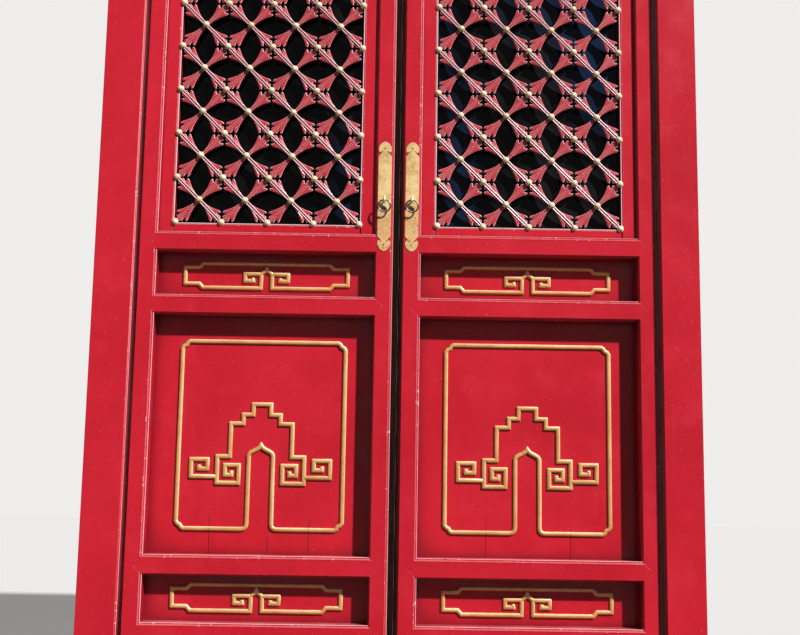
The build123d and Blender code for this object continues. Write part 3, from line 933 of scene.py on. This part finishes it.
def dress_straps(name, side):
    x = side * LEAF_X
    body = f"{name}_leaf"
    border = [(skirt_border(), True)]
    fret = [(path, False) for path in skirt_fret()]
    cracks, foot = skirt_cracks(side)
    cracked = gilding(f"gold_border_{name}", *GOLD, cracks=cracks, crack_foot=foot)
    width = SKIRT_STRAP_W
    strap(f"{name}_border_bead", [f"{name}_skirt_border"], x, SKIRT, border, width, body, cracked)
    strap(f"{name}_fret_bead", [f"{name}_skirt_fret"], x, SKIRT, fret, width, body, gold_strap)
    for waist, opening in WAISTS.items():
        paths = [(path, False) for path in waist_strap()]
        replaced = [f"{name}_{waist}_strap"]
        width = WAIST_STRAP_W
        strap(f"{name}_{waist}_bead", replaced, x, opening, paths, width, body, gold_strap, 3.4)


# Beads along the edges of the leaves, of the lattice strips and of the left jamb, pale as worn
# paint and as painted highlight


def bead(radius, forward):
    """Profile of a thin round bead whose middle lies at a height."""
    points = []
    for i in range(7):
        angle = math.radians(-35 + 250 * i / 6)
        points.append((-radius * math.cos(angle), forward + radius * math.sin(angle)))
    return points


def edge_loop(pattern, half_w, low, high, face, strip_bead, index):
    """Thin bead all round an opening in a face that lies at a height."""
    out, forward, radius = strip_bead
    u = half_w + out
    path = [(-u, low - out), (u, low - out), (u, high + out), (-u, high + out)]
    profile = bead(radius, face + forward)
    pattern.grid(sweep_rows(path, profile, True, soft=0.5), True, index)


def lit_corner_beads(pattern, half_w, low, high):
    """Thin beads along the left and the lower edge of an opening, the edges that face the light,
    where their pale paint is painted highlight.
    """
    for out, forward, radius in OPENING_BEADS:
        u = half_w + out
        path = [(-u, high + out), (-u, low - out), (u, low - out)]
        pattern.grid(sweep_rows(path, bead(radius, forward), soft=0.5, end=0.2))


def side_beads(pattern, beads, edge, low, high):
    """Thin upright beads just inside an edge that faces right."""
    for inward, height, radius in beads:
        u = edge - inward
        ends = [(u, low + BEAD_END_GAP), (u, high - BEAD_END_GAP)]
        pattern.grid(sweep_rows(ends, bead(radius, height), end=0.2))


def dress_edges(name, side):
    x = side * LEAF_X
    pattern = Pattern()
    for low, high in (LOWER_WAIST, SKIRT, UPPER_WAIST, LATTICE):
        lit_corner_beads(pattern, OPENING_W / 2, low, high)
    recess = LEAF_FRONT - LATTICE_FRONT
    inner_w = LATTICE_W / 2 + EDGE_GAP
    low = LATTICE[0] + END_STRIP
    high = LATTICE[1] - END_STRIP
    edge_loop(pattern, inner_w, low, high, recess, RUBBED_AND_HIGHLIT_STRIP_BEAD, RUBBED_AND_HIGHLIT)
    edge_loop(pattern, inner_w, low, high, recess, STRIP_BEAD, WEATHERED_AND_SUNLIT)
    side_beads(pattern, OUTER_BEADS, LEAF_W / 2, 0, LEAF_H)
    obj = piece(
        f"{name}_edge_beads",
        to_row(pattern.verts, x, LEAF_FRONT, LEAF_Z),
        pattern.faces,
        f"{name}_leaf",
        [paint_bead_highlight, paint_rubbed_and_highlit],
        indices=pattern.indices,
    )


def dress_left_jamb():
    """A pair of beads on the chamfer of the left jamb, whose edge faces right."""
    low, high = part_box("left_jamb")
    pattern = Pattern()
    side_beads(pattern, JAMB_BEADS, 1000 * high.x, 1000 * low.z, 1000 * high.z)
    verts = to_row(pattern.verts, 0, 1000 * low.y, 0)
    obj = piece("left_jamb_beads", verts, pattern.faces, "frame", [paint_bead_highlight])


# Pull plate, nails, staple and ring


def smooth_points(points, per_span):
    """Points of a smooth curve through the given ones."""
    result = []
    for i in range(len(points) - 1):
        p0 = points[max(i - 1, 0)]
        p1 = points[i]
        p2 = points[i + 1]
        p3 = points[min(i + 2, len(points) - 1)]
        for k in range(per_span):
            t = k / per_span
            point = []
            for a, b, c, d in zip(p0, p1, p2, p3):
                bend = 2 * b + (c - a) * t + (2 * a - 5 * b + 4 * c - d) * t * t
                point.append(0.5 * (bend + (3 * b - a - 3 * c + d) * t**3))
            result.append(tuple(point))
    result.append(points[-1])
    return result


def plate_outline():
    """Right half of the plate's upper half: cloud head, open slit, shoulder, side."""
    head = [(0, 0), (5.6, 2.0), (10.8, 5.8), (15.2, 11.6), (17.6, 17.8), (18.4, 24), (17.6, 28.6)]
    tail = [(17.6, 28.6), (14.8, 31.6), (11.6, 30.6), (8.6, 28.4), (6.2, 26.4), (5.0, 26.9)]
    tail.append((6.4, 29.2))
    shoulder = [(6.4, 29.2), (9.2, 31.6), (11.6, 34.6), (13.8, 37.6), (16.4, 40.6), (18.5, 44.4)]
    curve = smooth_points(head, 4) + smooth_points(tail, 4)[1:] + smooth_points(shoulder, 3)[1:]
    return [(a, PLATE_H / 2 - b) for a, b in curve]


def filled(name, outline, thickness, bevel):
    """Flat plate with a bevelled rim, as vertices and faces, from a filled curve."""
    curve = bpy.data.curves.new(name, "CURVE")
    curve.dimensions = "2D"
    curve.fill_mode = "BOTH"
    curve.extrude = thickness / 2 - bevel
    curve.bevel_depth = bevel
    curve.bevel_resolution = 1
    curve.offset = -bevel
    spline = curve.splines.new("POLY")
    spline.points.add(len(outline) - 1)
    for point, (a, b) in zip(spline.points, outline):
        point.co = (a, b, 0, 1)
    spline.use_cyclic_u = True
    holder = linked(name, curve)
    bpy.context.view_layer.update()
    mesh = bpy.data.meshes.new_from_object(
        holder.evaluated_get(bpy.context.evaluated_depsgraph_get())
    )
    verts = [tuple(v.co) for v in mesh.vertices]
    faces = [tuple(p.vertices) for p in mesh.polygons]
    bpy.data.objects.remove(holder)
    bpy.data.curves.remove(curve)
    bpy.data.meshes.remove(mesh)
    return verts, faces


def torus(radius, bar, around=72, about=16):
    """Ring in the plane of u and v."""
    rows = []
    for i in range(around):
        turn = 2 * math.pi * i / around
        line = []
        for j in range(about + 1):
            roll = -2 * math.pi * j / about
            reach = radius + bar * math.cos(roll)
            line.append((reach * math.cos(turn), reach * math.sin(turn), bar * math.sin(roll)))
        rows.append(line)
    return rows


def lathe(profile, sides=24):
    """Round shape about h, from (radius, height) pairs."""
    rows = []
    for i in reversed(range(sides)):
        turn = 2 * math.pi * i / sides
        rows.append([(r * math.cos(turn), r * math.sin(turn), h) for r, h in reversed(profile)])
    return rows


def dress_plate(name, x, z):
    """Brass plate with a cloud head at both ends, and dark patches under its open slits as painted
    shade.
    """
    quarter = plate_outline()
    right = quarter + [(a, -b) for a, b in reversed(quarter)]
    outline = right + [(-a, b) for a, b in reversed(right[1:-1])]
    verts, faces = filled(f"{name}_plate_curve", outline, PLATE_T, 0.3)
    lifted = [(a, b, h + PLATE_T / 2) for a, b, h in verts]
    # Painted shade: dark patches that show through the slits.
    slit_shade = Pattern()
    patch = [(4.6, -3.6), (17.6, -3.6), (17.6, 3.4), (4.6, 3.4)]
    for end in (-1, 1):
        for hand in (-1, 1):
            middle = end * (PLATE_H / 2 - SLIT_INSET)
            rim = [(hand * a, middle + b, 0.35) for a, b in patch]
            slit_shade.add(rim, [(3, 2, 1, 0) if hand < 0 else (0, 1, 2, 3)])
    verts_under = to_row(slit_shade.verts, x, LEAF_FRONT, z)
    obj = piece(f"{name}_slit_shade_patch", verts_under, slit_shade.faces, f"{name}_leaf", [bronze])
    obj = piece(
        f"{name}_cloud_plate", to_row(lifted, x, LEAF_FRONT, z), faces, f"{name}_leaf", [brass]
    )
    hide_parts(f"{name}_handle_plate")


def dress_nails(name, x, z):
    """Low round heads of the two nails of a plate."""
    nails = Pattern()
    head = [(2.5, 0.0), (2.45, 0.5), (2.0, 1.05), (1.2, 1.35), (0.0, 1.5)]
    for end in (-1, 1):
        middle = end * (PLATE_H / 2 - NAIL_INSET)
        nails.grid([[(a, middle + b, h) for a, b, h in line] for line in lathe(head, 14)], True)
    obj = piece(
        f"{name}_nail_heads",
        to_row(nails.verts, x, LEAF_FRONT - PLATE_T, z),
        nails.faces,
        f"{name}_leaf",
        [nail_brass],
        smooth=60,
    )
    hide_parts(f"{name}_plate_nails")


def dress_staple(name, x, eye_z):
    """Rose, shank and eye of the staple, with a pale tongue above."""
    staple = Pattern()
    rose = [(6.4, 0.0), (6.4, 0.7), (5.6, 1.5), (4.2, 2.2), (3.1, 2.5), (2.4, 3.2), (2.2, 4.2)]
    shank = rose + [(2.4, EYE_REACH - 4.2)]
    staple.grid(lathe(shank), True)
    tongue = [(2.9, 0.0), (2.8, 1.3), (2.0, 2.4), (0.9, 2.9), (0.0, 3.0)]
    rows = [[(a, b * 2.9 + 7.5, h) for a, b, h in line] for line in lathe(tongue, 20)]
    staple.grid(rows, True)
    eye = torus(4.3, 1.7, 32, 10)
    staple.grid([[(h * 1.75, b, a + EYE_REACH) for a, b, h in line] for line in eye], True)
    obj = piece(
        f"{name}_eye_staple",
        to_row(staple.verts, x, LEAF_FRONT - PLATE_T, eye_z),
        staple.faces,
        f"{name}_leaf",
        [pale_brass],
        smooth=50,
    )
    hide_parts(f"{name}_ring_staple")


def dress_ring(name, x, eye_z):
    """Round ring that hangs in the eye."""
    ring = Pattern()
    ring.grid(torus(RING_R, RING_BAR_R), True)
    eye_y = LEAF_FRONT - PLATE_T - EYE_REACH
    obj = piece(
        f"{name}_round_ring",
        to_row(ring.verts, x, eye_y, eye_z - RING_R),
        ring.faces,
        f"{name}_ring",
        [bronze],
        smooth=60,
    )
    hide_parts(f"{name}_pull_ring")


def dress_pull(name, side):
    x = side * PULL_X
    z = LEAF_Z + PLATE_Z
    dress_plate(name, x, z)
    dress_nails(name, x, z)
    dress_staple(name, x, z - EYE_DROP)
    dress_ring(name, x, z - EYE_DROP)


# A near-black lip along the edge of the right cover strip, painted shade for the slit, with lengths
# in metres


SHADE_LIP_GAP = 0.0001
SHADE_LIP_INSET = 0.002
SHADE_LIP_BEVEL = 0.003
SHADE_LIP_WAVE = 0.00005
SHADE_LIP_STEPS = 60


def slit_shade_cloth():
    """Near-black matt sheet, painted shade for the slit."""
    s = Shade("slit_shade_sheet")
    weave = s.noise(900.0, 2.0, 0.5)
    cloud = s.noise(12.0, 5.0, 0.6)
    colour = s.mix(s.band(cloud, 0.35, 0.65), (0.010, 0.008, 0.007), (0.022, 0.018, 0.016))
    return s.finish(colour, 1.0, [(weave, 0.0003)], ior=1.02)


def dress_gap():
    """Thin near-black lip in the slit between the two cover strips, painted shade."""
    low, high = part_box("right_cover_strip")
    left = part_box("left_cover_strip")[1].x + SHADE_LIP_GAP
    right = low.x
    front = low.y + SHADE_LIP_INSET
    back = high.y - SHADE_LIP_INSET
    length = high.z - low.z - 2 * SHADE_LIP_INSET
    rows = []
    for step in range(SHADE_LIP_STEPS + 1):
        z = low.z + SHADE_LIP_INSET + length * step / SHADE_LIP_STEPS
        lip = left + SHADE_LIP_WAVE * math.sin(step * 1.7)
        edge_front = (lip, front + SHADE_LIP_BEVEL, z)
        edge_back = (lip, back - SHADE_LIP_BEVEL, z)
        rows.append([(right, front, z), edge_front, edge_back, (right, back, z)])
    pattern = Pattern()
    pattern.grid([row[::-1] for row in rows])
    obj = piece("right_slit_shade_lip", pattern.verts, pattern.faces, "right_leaf", [slit_shade_cloth()])


# Paint and timber on the nodes that keep their own shape


def paint(node, material):
    obj = nodes[node]
    obj.data.materials.clear()
    obj.data.materials.append(material)


def dress_nodes():
    for node in ("sill", "lintel", "bearing_rail"):
        paint(node, paint_level)
    for name, side in LEAVES.items():
        for label in ("jamb", "pivot_block", "pivot_post", "hinge_stile", "meeting_stile"):
            paint(f"{name}_{label}", paint_upright)
        for label in ("bottom", "lower_waist", "skirt", "upper_waist", "top"):
            paint(f"{name}_{label}_rail", paint_level)
        cracks, foot = skirt_cracks(side)
        skirt_paint = red_paint(
            f"red_paint_{name}_skirt", UPRIGHT, cracks=cracks, crack_foot=foot
        )
        paint(f"{name}_skirt_panel", skirt_paint)
        for waist in WAISTS:
            paint(f"{name}_{waist}_panel", paint_level)
        paint(f"{name}_inner_frame", paint_strips)
        paint(f"{name}_glazing_beads", paint_upright)
        paint(f"{name}_glass_pane", glass)
        paint(f"{name}_cover_strip", timber)


dress_nodes()
dress_left_jamb()
dress_gap()
for leaf_name, leaf_side in LEAVES.items():
    dress_lattice(leaf_name, leaf_side)
    dress_straps(leaf_name, leaf_side)
    dress_edges(leaf_name, leaf_side)
    dress_pull(leaf_name, leaf_side)


# Camera, light, floor


def set_camera():
    """Camera at the place, tilt and focal length fitted to the photograph."""
    data = bpy.data.cameras.new("camera")
    data.sensor_fit = "HORIZONTAL"
    data.sensor_width = SENSOR_W
    data.lens = FOCAL_PX / IMAGE_W * SENSOR_W
    data.clip_start = 0.05
    data.clip_end = 60.0
    camera = linked("camera", data)
    turn = Matrix.Rotation(math.radians(CAMERA_TURN), 4, "Z")
    pitch = Matrix.Rotation(math.radians(CAMERA_PITCH), 4, "X")
    roll = Matrix.Rotation(math.radians(CAMERA_ROLL), 4, "Y")
    level = Matrix.Rotation(math.radians(90), 4, "X")
    camera.matrix_world = Matrix.Translation(CAMERA_AT) @ turn @ pitch @ roll @ level
    bpy.context.scene.camera = camera


def set_light():
    """Sun, a weak light from behind, and a backdrop that lights the door only a little."""
    lamps = (
        ("key", SUN_FROM, SUN_STRENGTH, SUN_ANGLE),
        ("back", BACK_FROM, BACK_STRENGTH, BACK_ANGLE),
    )
    for name, direction, strength, angle in lamps:
        sun = bpy.data.lights.new(name, "SUN")
        sun.energy = strength
        sun.angle = math.radians(angle)
        obj = linked(name, sun)
        obj.rotation_mode = "QUATERNION"
        obj.rotation_quaternion = Vector(direction).to_track_quat("Z", "Y")
    world = bpy.data.worlds.new("studio")
    bpy.context.scene.world = world
    world.use_nodes = True
    world.node_tree.nodes.clear()
    new = world.node_tree.nodes.new
    join = world.node_tree.links.new
    out = new("ShaderNodeOutputWorld")
    background = new("ShaderNodeBackground")
    path = new("ShaderNodeLightPath")
    seen = path.outputs["Is Camera Ray"]
    for ray in ("Is Glossy Ray", "Is Transmission Ray"):
        both = new("ShaderNodeMath")
        both.operation = "MAXIMUM"
        join(seen, both.inputs[0])
        join(path.outputs[ray], both.inputs[1])
        seen = both.outputs[0]
    strength = new("ShaderNodeMapRange")
    join(seen, strength.inputs["Value"])
    strength.inputs["To Min"].default_value = FILL
    strength.inputs["To Max"].default_value = BACKDROP
    tint = new("ShaderNodeMix")
    tint.data_type = "RGBA"
    tint.inputs[6].default_value = FILL_TINT
    tint.inputs[7].default_value = BACKDROP_TINT
    join(seen, tint.inputs["Factor"])
    join(tint.outputs[2], background.inputs["Color"])
    join(strength.outputs[0], background.inputs["Strength"])
    join(background.outputs[0], out.inputs["Surface"])


def floor_material():
    """Pale floor in the picture and in reflections, darker in the light it gives back."""
    s = Shade("floor")
    pale = s.node("ShaderNodeBsdfDiffuse", {"Color": FLOOR_SEEN})
    dark = s.node("ShaderNodeBsdfDiffuse", {"Color": FLOOR_UNSEEN})
    path = s.node("ShaderNodeLightPath")
    seen = s.math("MAXIMUM", path.outputs["Is Camera Ray"], path.outputs["Is Glossy Ray"])
    seen = s.math("MAXIMUM", seen, path.outputs["Is Transmission Ray"])
    both = s.node("ShaderNodeMixShader", {0: seen, 1: dark.outputs[0], 2: pale.outputs[0]})
    s.tree.links.new(both.outputs[0], s.out.inputs["Surface"])
    return s.material


def set_floor():
    size = FLOOR_HALF
    verts = [(-size, -size, 0), (size, -size, 0), (size, size, 0), (-size, size, 0)]
    mesh = bpy.data.meshes.new("floor")
    mesh.from_pydata(verts, [], [(0, 1, 2, 3)])
    mesh.materials.append(floor_material())
    floor = linked("floor", mesh)


set_camera()
set_light()
set_floor()
bpy.context.scene.view_settings.view_transform = "Standard"


bpy.context.view_layer.update()
